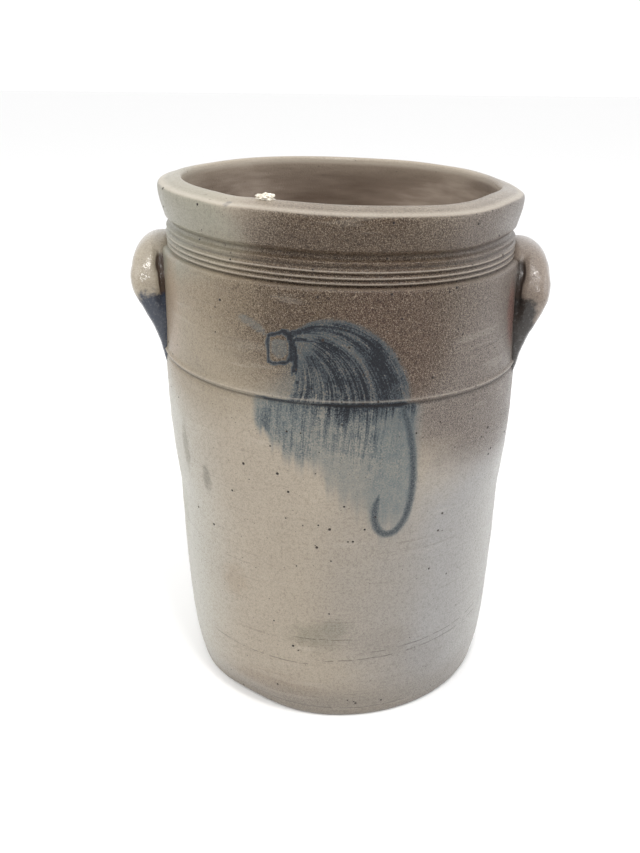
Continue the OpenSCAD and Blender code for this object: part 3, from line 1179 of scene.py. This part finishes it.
class FinishGroups:
    """Shader node groups that several finishes share, each built once."""

    def __init__(self) -> None:
        """Builds the groups."""
        self.orange_peel = self.make_orange_peel()
        self.flash = self.make_flash()
        self.specks = self.make_specks()
        self.tool_marks = self.make_tool_marks()
        self.slip = self.make_slip()
        self.scored_line = self.make_scored_line()

    @staticmethod
    def start(name: str, takes: dict[str, Any], *gives: str) -> tuple[Sheet, Flow]:
        """Starts a group of that name, and gives its sheet and its Vector input.

        Args:
            name: The group's name.
            takes: Inputs other than Vector, with their default values.
            *gives: Names of the outputs, each a number unless it is Color.

        Returns:
            The sheet and the Vector input.
        """
        sorts = {label: "Color" if label == "Color" else "Float" for label in gives}
        sheet = Sheet.group(name, SheetKind.FINISH, {"Vector": "Vector", **takes}, sorts)
        return sheet, sheet.take("Vector")

    @classmethod
    def make_orange_peel(cls) -> Tree:
        """The pitted skin that salt vapour leaves: a height, its pits and its tops."""
        sheet, place = cls.start("salt_orange_peel", {"Grain": 1.0}, "Height", "Pits", "Tops")
        spot = place / sheet.take("Grain")
        skin = sheet.noise(spot * 0.95, 1.0, 0.5)
        crumb = sheet.noise((spot + 17.0) * 1.7, 1.0, 0.6)
        cell = sheet.flow("ShaderNodeTexVoronoi", {"Vector": spot + (crumb - 0.5) * 1.4, "Scale": 0.62})
        sheet.give("Height", skin * 0.9 + (1.0 - cell) * 0.5 + crumb * 0.3)
        sheet.give("Pits", sheet.smooth(skin * 0.6 + crumb * 0.4, 0.52, 0.40))
        sheet.give("Tops", sheet.smooth(crumb * 0.7 + skin * 0.3, 0.535, 0.64))
        return sheet.tree

    @classmethod
    def make_flash(cls) -> Tree:
        """A soft ragged patch where flame and salt changed the clay's colour."""
        takes = {"Centre": "Vector", "Reach": "Vector", "Ragged": 0.4, "Soft": 0.6, "Rag": 0.5}
        sheet, place = cls.start("kiln_flash", takes, "Mask")
        away = sheet.length((place - sheet.take("Centre")) / sheet.take("Reach"))
        edge = away + (sheet.take("Rag") - 0.5) * sheet.take("Ragged") * 2.0
        reach = sheet.take("Soft") * 0.5
        sheet.give("Mask", 1.0 - sheet.smooth(edge, 1.0 - reach, reach + 1.0))
        return sheet.tree

    @classmethod
    def make_specks(cls) -> Tree:
        """Dark iron specks and pinholes of mixed size, scattered thinly."""
        sheet, place = cls.start("iron_specks", {"Spacing": 6.0, "Size": 0.1, "Share": 0.5}, "Mask")
        made = sheet.node("ShaderNodeTexVoronoi", {"Vector": place / sheet.take("Spacing"), "Scale": 1.0})
        distance, home = (Flow(sheet, made.outputs[label]) for label in ("Distance", "Position"))
        pick = sheet.flow("ShaderNodeTexWhiteNoise", {"Vector": home})
        size = sheet.take("Size") * (pick / sheet.take("Share") * 0.75 + 0.3)
        dot = 1.0 - sheet.smooth(distance, size * 0.5, size)
        sheet.give("Mask", dot * sheet.math("LESS_THAN", pick, sheet.take("Share")))
        return sheet.tree

    @classmethod
    def make_tool_marks(cls) -> Tree:
        """Fine level scratches from turning and wiping, with a height and a mask."""
        sheet, place = cls.start("tool_marks", {"Pitch": 1.4}, "Height", "Lines")
        x, y, z = place.parts()
        lines = sheet.noise(sheet.vector(x / 60.0, y / 60.0, z / sheet.take("Pitch")), 2.0, 0.6)
        patch = sheet.noise(place / 45.0, 1.0)
        sheet.give("Height", lines * sheet.smooth(patch, 0.38, 0.62))
        sheet.give("Lines", sheet.smooth(lines, 0.60, 0.70) * sheet.smooth(patch, 0.45, 0.6))
        return sheet.tree

    @classmethod
    def make_scored_line(cls) -> Tree:
        """One fine line scratched part of the way round the wall."""
        takes = {"Height": 50.0, "Tilt": 0.0, "Start": -30.0, "End": 30.0}
        sheet, place = cls.start("scored_line", takes, "Mask")
        x, y, z = place.parts()
        shake = (sheet.noise(place / 12.0, 1.0) - 0.5) * 1.4
        away = sheet.math("ABSOLUTE", z - sheet.take("Height") - x * sheet.take("Tilt") + shake)
        start, end = sheet.take("Start"), sheet.take("End")
        window = sheet.smooth(x, start, start + 12.0) * (1.0 - sheet.smooth(x, end - 12.0, end))
        broken = sheet.smooth(sheet.noise(place / 5.0, 1.0), 0.36, 0.5)
        front = sheet.smooth(y * -1.0, 0.0, 6.0)
        line = 1.0 - sheet.smooth(away, 0.12, 0.42)
        sheet.give("Mask", line * window * broken * front)
        return sheet.tree

    @classmethod
    def make_slip(cls) -> Tree:
        """Blue slip laid over clay: a thin wash, bristle marks, and cobalt up to nearly black."""
        takes = {"Clay": (0.3, 0.3, 0.3, 1.0), "Cobalt": 0.0, "Wash": 0.0, "Marks": 0.0}
        sheet, place = cls.start("blue_slip", {**takes, "Bristle": "Vector"}, "Color", "Cover")
        across, along, _ = sheet.take("Bristle").parts()
        grain = sheet.noise(place / 0.8, 2.0, 0.75) - 0.5
        uneven = sheet.noise(place / 7.0, 2.0, 0.6) - 0.5
        broad = sheet.noise(sheet.vector(across * 0.85, along / 30.0, 0.0), 1.0, 0.5)
        fine = sheet.noise(sheet.vector(across * 2.3, along / 20.0, 3.0), 2.0, 0.6)
        comb = sheet.smooth(broad * 0.5 + fine * 0.5, 0.36, 0.64)
        marks = sheet.take("Marks") * (comb * 0.85 + 0.34 + uneven * 1.0 + grain * 2.6)
        dense = sheet.math("MAXIMUM", marks, sheet.take("Cobalt") * (grain * 1.6 + 1.0))
        wash = sheet.take("Wash") * (grain * 1.6 + 0.80 + uneven * 0.5)
        wash = sheet.math("ADD", wash, 0.0, clamp=True)
        colour = sheet.mix(wash, sheet.take("Clay"), srgb(90, 98, 99))
        for low, high, share, tone in (
            (0.10, 0.42, 0.75, (68, 77, 81)),
            (0.34, 0.66, 0.90, (38, 44, 51)),
            (0.62, 0.92, 1.0, (14, 17, 24)),
        ):
            colour = sheet.mix(sheet.smooth(dense, low, high) * share, colour, srgb(*tone))
        sheet.give("Color", colour)
        sheet.give("Cover", sheet.smooth(dense, 0.25, 0.8))
        return sheet.tree


def start_finish(name: str) -> tuple[Finish, Sheet, Flow]:
    """Starts a material: it, its empty sheet, and the place on the object in millimetres."""
    material = bpy.data.materials.new(name)
    material.use_nodes = True
    sheet = Sheet(material.node_tree)
    return material, sheet, sheet.flow("ShaderNodeTexCoord", output="Object") / MM


def end_finish(
    sheet: Sheet,
    colour: Any,
    rough: Any,
    normal: Flow | None = None,
    coat: float = 0.0,
    coat_rough: float = 0.2,
    specular: float = 0.18,
) -> None:
    """Ends a material in one Principled shader with a thin glassy coat.

    Args:
        sheet: The material's sheet.
        colour: Base colour.
        rough: Roughness.
        normal: Surface normal, if the finish bends it.
        coat: Weight of the coat.
        coat_rough: Roughness of the coat.
        specular: Strength of the skin's own reflection.
    """
    shader = sheet.node("ShaderNodeBsdfPrincipled", {"Base Color": colour, "Roughness": rough})
    shader.inputs["Specular IOR Level"].default_value = specular
    shader.inputs["Coat Weight"].default_value = coat
    shader.inputs["Coat Roughness"].default_value = coat_rough
    if normal is not None:
        sheet.feed(shader.inputs["Normal"], normal)
        sheet.feed(shader.inputs["Coat Normal"], normal)
    sheet.node("ShaderNodeOutputMaterial", [Flow(sheet, shader.outputs[0])])


@dataclass(frozen=True)
class Flash:
    """One patch of kiln colour on the wall."""

    angle: float
    height: float
    wide: float  # half its width
    tall: float  # half its height
    colour: Colour
    strength: float = 1.0
    ragged: float = 0.2  # how uneven its edge is
    soft: float = 0.7  # how gradually it fades
    span: float = 22.0  # size of the unevenness of its edge

    def centre(self, radius: float = 103.0) -> Place:
        """Its middle, on the wall."""
        turn = math.radians(self.angle)
        return radius * math.sin(turn), -radius * math.cos(turn), self.height


@dataclass(frozen=True)
class ScoredLine:
    """One scratch on the front of the wall."""

    height: float
    tilt: float  # rise for each millimetre to the right
    start: float  # from side to side
    end: float


SCORED_LINES = (
    ScoredLine(45.5, 0.045, -16, 96),
    ScoredLine(49.5, 0.050, 8, 99),
    ScoredLine(60.5, 0.00, -30, 14),
    ScoredLine(41.5, -0.02, -84, -6),
    ScoredLine(174.0, 0.02, 60, 100),
    ScoredLine(226.0, 0.03, 62, 102),
    ScoredLine(7.5, -0.01, -60, 50),
)


KILN_FLASHES = (
    Flash(70, 80, 102, 108, (142, 140, 138), 1.0, 0.12, 0.5),
    Flash(-84, 105, 66, 150, (168, 166, 157), 0.95, 0.12, 0.9),
    Flash(80, 70, 52, 120, (156, 154, 150), 0.9, 0.1, 0.9),
    Flash(60, 238, 96, 76, (104, 95, 89), 1.0, 0.10, 0.45),
    Flash(-50, 236, 66, 44, (139, 128, 110), 1.0, 0.12, 0.8),
    Flash(2, 266, 64, 58, (79, 64, 50), 1.0, 0.10, 0.8),
    Flash(14, 240, 30, 36, (76, 58, 47), 0.75, 0.2, 0.8),
    Flash(-70, 288, 68, 31, (137, 134, 120), 1.0, 0.10, 0.4),
    Flash(88, 292, 50, 22, (120, 113, 107), 0.9, 0.1, 0.9),
    Flash(-38, 262, 30, 24, (122, 108, 88), 0.5, 0.4, 1.0, 5.0),
    Flash(-6, 62, 17, 10, (110, 106, 90), 0.5, 1.0, 1.0, 5.0),
    Flash(0, 69, 9, 7, (100, 100, 86), 0.45, 1.0, 1.0, 5.0),
    Flash(-57, 163, 4, 13, (108, 104, 88), 0.6, 0.9, 1.0, 5.0),
    Flash(-46, 150, 3.6, 8, (100, 96, 84), 0.6, 0.9, 1.0, 5.0),
    Flash(-37, 88, 9, 11, (136, 118, 96), 0.3, 0.8, 1.0, 5.0),
    Flash(-70, 120, 9, 30, (136, 136, 116), 0.5, 0.6, 1.0, 5.0),
    Flash(27, 36, 22, 17, (116, 110, 104), 0.3, 0.7, 1.0, 5.0),
    Flash(16, 58, 16, 11, (122, 116, 110), 0.5, 0.7, 1.0, 5.0),
    Flash(-22, 20, 28, 9, (140, 124, 106), 0.5, 0.6, 1.0, 5.0),
    Flash(8, 0, 120, 24, (119, 112, 104), 0.7, 0.1, 1.0),
    Flash(11, 96, 30, 62, (136, 129, 120), 0.6, 0.2, 1.0),
    Flash(66, 238, 7, 16, (112, 78, 72), 0.7, 0.4, 0.9, 5.0),
    Flash(-64, 240, 12, 30, (150, 133, 116), 0.6, 0.4, 1.0, 5.0),
)


@dataclass(frozen=True)
class SaltGlaze:
    """A salt-glazed clay: flashed colour, pitted skin, specks and tool marks."""

    name: str = "salt_glazed_stoneware"
    base: Colour = (154, 144, 129)
    flashes: tuple[Flash, ...] = KILN_FLASHES  # later ones lie over earlier ones
    lines: tuple[ScoredLine, ...] = SCORED_LINES
    grain: float = 0.66  # size of the pits
    peel: float = 0.26  # depth of the pits
    rough: float = 0.36
    coat: float = 0.24
    coat_rough: float = 0.13

    def make(self, groups: FinishGroups) -> Finish:
        """Builds the material from the shared node groups."""
        material, sheet, place = start_finish(self.name)
        clay = self.clay(sheet, groups, place)
        peel = sheet.use(groups.orange_peel, Vector=place, Grain=self.grain)
        marks = sheet.use(groups.tool_marks, Vector=place, Pitch=1.5)
        bold = sheet.use(groups.tool_marks, Vector=place + 310.0, Pitch=5.5)
        value = sheet.flow("ShaderNodeRGBToBW", [clay])
        toasted = 1.0 - sheet.smooth(value, 0.06, 0.24)
        clay = self.grains(sheet, place, clay, peel, toasted)
        clay = sheet.mix(marks["Lines"] * 0.22, clay, srgb(92, 82, 74))
        clay = sheet.mix(bold["Lines"] * 0.10, clay, srgb(190, 184, 172))
        clay, cover = self.over(sheet, groups, place, clay)
        # Painted highlight on tooled crests and painted shade in grooves, read from a mesh attribute.
        wear = sheet.attribute("wear")
        clay = sheet.mix(sheet.smooth(wear, 0.1, 1.0) * 0.55, clay, srgb(190, 180, 166))
        clay = sheet.mix(sheet.smooth(wear, -0.25, -1.0) * 0.46, clay, srgb(34, 28, 24))
        dots = self.dots(sheet, groups, place)
        clay = sheet.mix(dots * 0.85, clay, srgb(38, 30, 26))
        wander = sheet.noise(place / 14.0, 2.0, 0.6)
        rough = (wander - 0.5) * 0.25 + self.rough + peel["Pits"] * 0.12 - cover * 0.06
        relief = peel["Height"] * (toasted * 0.9 + 0.45) + marks["Height"] * 0.35
        relief = relief + bold["Height"] * 1.1 - dots * 0.8
        end_finish(sheet, clay, rough, sheet.bump(relief, self.peel), self.coat, self.coat_rough)
        return material

    def clay(self, sheet: Sheet, groups: FinishGroups, place: Flow) -> Flow:
        """The flashed colour before its grain."""
        slow = sheet.noise(place / 38.0, 2.0, 0.6)
        darker, lighter = ([part * share for part in srgb(*self.base)] for share in (0.9, 1.1))
        colour = sheet.mix(slow, darker, lighter)
        spans = sorted({flash.span for flash in self.flashes})
        rags = {span: sheet.noise(place / span, 4.0, 0.7) for span in spans}
        for flash in self.flashes:
            patch = {"Centre": flash.centre(), "Reach": (flash.wide, flash.wide, flash.tall)}
            patch.update(Ragged=flash.ragged, Soft=flash.soft, Rag=rags[flash.span])
            mask = sheet.use(groups.flash, Vector=place, **patch)["Mask"]
            colour = sheet.mix(mask * flash.strength, colour, srgb(*flash.colour))
        return colour

    @staticmethod
    def grains(sheet: Sheet, place: Flow, clay: Flow, peel: dict[str, Flow], toasted: Flow) -> Flow:
        """Speckles the clay: dark pits, pale tops and a fine mottle, coarsest where it fired dark."""
        dark = sheet.mix(1.0, clay, (0.30, 0.26, 0.23), "MULTIPLY")
        pale = sheet.mix(0.42, clay, srgb(206, 192, 170))
        mottle = sheet.noise(place / 1.8, 3.0, 0.75)
        clay = sheet.mix(sheet.smooth(mottle, 0.46, 0.68) * 0.28, clay, dark)
        clay = sheet.mix(peel["Pits"] * (toasted * 0.66 + 0.22), clay, dark)
        return sheet.mix(peel["Tops"] * (toasted * 0.50 + 0.20), clay, pale)

    def over(self, sheet: Sheet, groups: FinishGroups, place: Flow, clay: Flow) -> tuple[Flow, Flow]:
        """Slip and anything else over the clay: its colour and how far it covers."""
        split = sheet.node("ShaderNodeSeparateColor", [sheet.attribute("slip", "Color")])
        slip = dict(zip(("Cobalt", "Wash", "Marks"), sheet.outputs(split)))
        slip["Bristle"] = sheet.attribute("bristle", "Vector")
        clay = sheet.mix(sheet.attribute("inside"), clay, self.inside(sheet, place))
        done = sheet.use(groups.slip, Clay=clay, Vector=place, **slip)
        return done["Color"], done["Cover"]

    @staticmethod
    def inside(sheet: Sheet, place: Flow) -> Flow:
        """The plain slip-washed inside, a taupe with slow level streaks."""
        x, y, z = place.parts()
        streak = sheet.noise(sheet.vector(x / 50.0, y / 50.0, z / 9.0), 3.0, 0.6)
        streak = streak + sheet.smooth(sheet.math("ABSOLUTE", x), 12.0, 78.0) * 0.32
        return sheet.ramp(streak, [(0.3, (110, 95, 83)), (0.7, (142, 127, 114)), (1.0, (186, 171, 157))])

    def dots(self, sheet: Sheet, groups: FinishGroups, place: Flow) -> Flow:
        """Specks of three sizes, and the scratches."""
        sorts = ((0.0, 3.6, 0.13, 0.45), (57.0, 9.0, 0.085, 0.35), (91.0, 24.0, 0.05, 0.30))
        fine, mid, rare = (
            sheet.use(groups.specks, Vector=place + shift, Spacing=gap, Size=size, Share=share)["Mask"]
            for shift, gap, size, share in sorts
        )
        dots = sheet.math("MAXIMUM", sheet.math("MAXIMUM", fine * 0.7, mid), rare)
        for line in self.lines:
            scratch = {"Height": line.height, "Tilt": line.tilt, "Start": line.start, "End": line.end}
            cut = sheet.use(groups.scored_line, Vector=place, **scratch)["Mask"]
            dots = sheet.math("MAXIMUM", dots, cut * 0.6)
        return dots


@dataclass(frozen=True)
class HandleGlaze(SaltGlaze):
    """The handles' finish: paler salted clay, painted shade along the root, and dark slip over the tail.
    """

    name: str = "handle_stoneware"
    base: Colour = (158, 149, 134)
    coat: float = 0.7
    coat_rough: float = 0.12
    rough: float = 0.30
    flashes: tuple[Flash, ...] = ()
    lines: tuple[ScoredLine, ...] = ()
    slip_top: float = 246.0  # height that the slip reaches
    slip: Colour = (30, 42, 60)
    slip_out: float = 119.0  # radius beyond which the slip stops
    # painted shade: the dark brown of the recess where the strap meets the wall
    root: Colour = (64, 48, 38)

    def over(self, sheet: Sheet, groups: FinishGroups, place: Flow, clay: Flow) -> tuple[Flow, Flow]:
        """Painted shade, dark brown, on the root next to the wall, and slip brushed over the lower end.
        """
        # Painted shade in the recess between the strap's root and the wall.
        web = sheet.smooth(sheet.attribute("web"), 0.25, 0.7)
        clay = sheet.mix(web * 0.96, clay, srgb(*self.root))
        x, y, z = place.parts()
        out = sheet.length(sheet.vector(x, y, 0.0))
        ragged = sheet.noise(place / 5.0, 3.0, 0.7) - 0.5
        below = 1.0 - sheet.smooth(z + ragged * 16.0, self.slip_top - 3.0, self.slip_top + 3.0)
        near = 1.0 - sheet.smooth(out + ragged * 8.0, self.slip_out - 3.0, self.slip_out + 1.0)
        cover = below * near
        fleck = sheet.noise(place / 1.6, 2.0, 0.7)
        pale = [0.5 * part + 0.12 for part in srgb(*self.slip)]
        slip = sheet.mix(sheet.smooth(fleck, 0.52, 0.74) * 0.55, srgb(*self.slip), pale)
        return sheet.mix(cover * 0.94, clay, slip), cover


@dataclass(frozen=True)
class WadClay:
    """Rough unglazed white wadding."""

    name: str = "kiln_wadding"

    def make(self) -> Finish:
        """Builds the material."""
        material, sheet, place = start_finish(self.name)
        crumb = sheet.noise(place / 1.3, 4.0, 0.7)
        colour = sheet.ramp(crumb, [(0.3, (190, 178, 158)), (0.65, (240, 236, 226))])
        end_finish(sheet, colour, 0.85, sheet.bump(crumb, 0.35))
        return material


@dataclass(frozen=True)
class IronBlisterGlass:
    """Dark glassy iron, melted out of the clay."""

    name: str = "iron_blister"

    def make(self) -> Finish:
        """Builds the material."""
        material, sheet, place = start_finish(self.name)
        melt = sheet.noise(place / 9.0, 3.0, 0.7)
        colour = sheet.ramp(melt, [(0.35, (22, 17, 15)), (0.7, (50, 39, 31))])
        end_finish(sheet, colour, melt * 0.4 + 0.2, None, 0.4, 0.1)
        return material


# ----------------------------------------------------------------- the studio


@dataclass(frozen=True)
class Lamp:
    """One square softbox, aimed at the middle of the crock. Its sizes are in metres."""

    name: str
    place: Place
    side: float
    power: float
    colour: Place = (1.0, 0.99, 0.97)

    def hang(self) -> None:
        """Makes the lamp."""
        light = bpy.data.lights.new(self.name, "AREA")
        light.size, light.energy, light.color = self.side, self.power, self.colour
        lamp = add_object(self.name, light)
        aim = Vector((0, 0, 0.16)) - Vector(self.place)
        lamp.location = self.place
        lamp.rotation_euler = aim.to_track_quat("-Z", "Y").to_euler()


@dataclass
class Studio:
    """Plain pale floor, soft light all round and the camera."""

    camera_place: Place = (0.0, -528.7, 379.9)
    camera_down: float = 23.38
    camera_roll: float = 0.6
    lens: float = 38.45
    shift: float = -0.0229
    surround: float = 1.04  # strength of the white light from all round
    lamps: tuple[Lamp, ...] = (
        Lamp("key_softbox", (-1.1, -0.7, 1.3), 1.0, 8.0),
        Lamp("window", (1.4, -0.3, 0.9), 0.9, 6.0, (0.92, 0.96, 1.0)),
        Lamp("ceiling_lamp", (0.12, -0.42, 1.35), 0.18, 5.5),
        Lamp("front_lamp", (0.05, -1.05, 1.05), 0.18, 4.0, (1.0, 1.0, 1.0)),
    )

    def build(self) -> None:
        """Makes the floor, a dark card for the unlit side of the room, the lights and the camera."""
        scene = bpy.context.scene
        scene.view_settings.view_transform = "Standard"
        reach, wide, low, high, back = 6.0, 1.0, 0.15, 1.5, -1.3
        floor = [(-reach, -reach, 0), (reach, -reach, 0), (reach, reach, 0), (-reach, reach, 0)]
        card = [(-wide, back, low), (wide, back, low), (wide, back, high), (-wide, back, high)]
        self.make_panel("studio_floor", floor, (0.93, 0.93, 0.93), 0.5)
        self.make_panel("room_side_card", card, srgb(96, 94, 92), 0.18).visible_camera = False
        world = bpy.data.worlds.new("white_surround")
        world.use_nodes = True
        sheet = Sheet(world.node_tree)
        light = sheet.flow("ShaderNodeBackground", [(1.0, 1.0, 1.0), self.surround])
        sheet.node("ShaderNodeOutputWorld", [light])
        scene.world = world
        for lamp in self.lamps:
            lamp.hang()
        scene.camera = self.make_camera()

    @staticmethod
    def make_panel(name: str, corners: list[Place], colour: Any, specular: float) -> bpy.types.Object:
        """Makes one flat matt panel of the set.

        Args:
            name: The panel's name.
            corners: Its four corners, in metres.
            colour: Its colour, as linear light.
            specular: Strength of its reflection.

        Returns:
            The panel.
        """
        mesh = bpy.data.meshes.new(name)
        mesh.from_pydata(corners, [], [(0, 1, 2, 3)])
        material, sheet, _ = start_finish(f"{name}_matt")
        end_finish(sheet, colour, 0.9, specular=specular)
        mesh.materials.append(material)
        panel = add_object(name, mesh)
        return panel

    def make_camera(self) -> bpy.types.Object:
        """Sets up the camera in front of the crock, looking down into it a little."""
        data = bpy.data.cameras.new("camera")
        data.lens = self.lens
        data.sensor_width = 36.0
        data.shift_x = self.shift
        data.clip_start = 0.01
        camera = add_object("camera", data)
        camera.location = [value * MM for value in self.camera_place]
        tilt = Matrix.Rotation(math.radians(90 - self.camera_down), 4, "X")
        roll = Matrix.Rotation(math.radians(self.camera_roll), 4, "Z")
        camera.rotation_euler = (tilt @ roll).to_euler()
        return camera


def settle(piece: bpy.types.Object, node: str | None) -> None:
    """Rides a finished piece on the crock and reports it.

    Args:
        piece: The piece.
        node: The CAD node that it stands for, or None for added detail.
    """
    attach(piece, BODY)
    if node:
        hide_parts(node)
    triangles = sum(len(face.vertices) - 2 for face in piece.data.polygons)
    log.info("%s: %d triangles, %s", piece.name, triangles, piece.data.materials[0].name)


def main() -> None:
    """Builds the crock piece by piece, then the studio round it."""
    logging.basicConfig(level=logging.INFO, format="%(name)s: %(message)s")
    groups = FinishGroups()
    warp = KilnWarp()
    warp_tree = warp.tree()
    crock = CrockBody().build(warp, warp_tree, SaltGlaze().make(groups))
    settle(crock, "crock_body")
    left, right = LugHandle(-1, -1.6, 26.0, 3.4, 3.0), LugHandle(1, 2.0, 30.0, 3.6, 5.0)
    # the right handle's root gets a darker painted shade
    dark = {"slip": (38, 35, 33), "slip_out": 116.0, "root": (44, 34, 28)}
    right_glaze = HandleGlaze("right_handle_stoneware", (132, 120, 110), **dark)
    for handle, glaze in ((left, HandleGlaze("left_handle_stoneware")), (right, right_glaze)):
        settle(handle.build(warp_tree, glaze.make(groups)), handle.node)
    settle(KilnWad().build(warp_tree, WadClay().make()), "kiln_wad_fragment")
    settle(IronBlisters().build(crock.data, IronBlisterGlass().make()), None)
    Studio().build()


if __name__ == "__main__":
    main()
